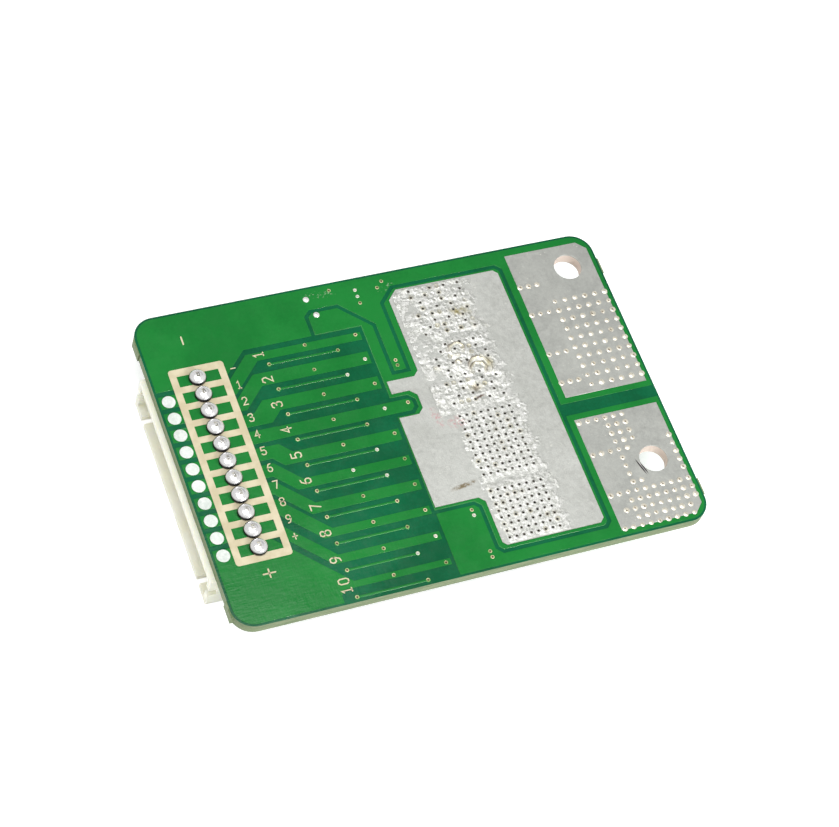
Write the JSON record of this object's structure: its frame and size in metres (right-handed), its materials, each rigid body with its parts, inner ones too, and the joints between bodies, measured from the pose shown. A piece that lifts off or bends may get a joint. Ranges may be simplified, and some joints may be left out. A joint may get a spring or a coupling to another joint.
{
  "type": "battery management board",
  "caption": "Flat round-cornered circuit board that guards a series battery pack, with a side-entry cell header at the left end and tinned terminal lands with holes at the right.",
  "frame": {"origin": "centre of the footprint, header and broken tabs included, on the plane that the header's outer wall stands on", "axes": "+X along the board from the header to the terminal lands, +Y across it, +Z out of the solder side"},
  "size_m": [0.0668, 0.046, 0.0088],
  "materials": {
    "fr4_edge": "cut glass-epoxy laminate, slightly rough",
    "mask_dark": "glossy green solder mask over bare laminate",
    "mask_light": "glossy green solder mask over copper",
    "tinned_copper": "solder-coated copper, softly rippled",
    "solder": "bright solder, uneven",
    "pad_tin": "flat tinned pad",
    "silkscreen_ink": "printed tan ink",
    "cream_nylon": "moulded natural nylon",
    "pin_metal": "tinned brass pin",
    "joint_solder": "bright shiny solder dome",
    "black_resin": "moulded epoxy, fine matt",
    "lead_tin": "tin-plated lead frame",
    "shunt_coat": "coated metal strip",
    "resistor_glaze": "black glaze on ceramic",
    "capacitor_ceramic": "fired brown ceramic"
  },
  "bodies": {
    "root": {"laminate": "fr4_edge", "solder_mask": "mask_dark", "component_mask": "mask_dark", "pack_negative_copper": "mask_light", "pack_positive_copper": "mask_light", "cell_traces": "mask_light", "sense_tracks": "mask_light", "drain_copper": "mask_light", "output_copper": "mask_light", "drain_tinning": "tinned_copper", "drain_solder_splash": "solder", "battery_land": "tinned_copper", "output_land": "tinned_copper", "battery_via_bumps": "solder", "output_via_bumps": "solder", "edge_pads": "pad_tin", "via_rings": "solder", "silkscreen_frame": "silkscreen_ink", "header_housing": "cream_nylon", "header_pins": "pin_metal", "solder_joints": "joint_solder", "component_copper": "mask_light", "component_lands": "tinned_copper", "mosfet_bodies": "black_resin", "mosfet_tabs": "lead_tin", "mosfet_leads": "lead_tin", "shunt_elements": "shunt_coat", "shunt_ends": "lead_tin", "monitor_ics": "black_resin", "monitor_leads": "lead_tin", "balance_transistors": "black_resin", "transistor_leads": "lead_tin", "balance_resistors": "resistor_glaze", "balance_ends": "lead_tin", "chip_resistors": "resistor_glaze", "chip_capacitors": "capacitor_ceramic", "chip_ends": "lead_tin", "driver_ics": "black_resin", "driver_leads": "lead_tin"}
  },
  "joints": []
}
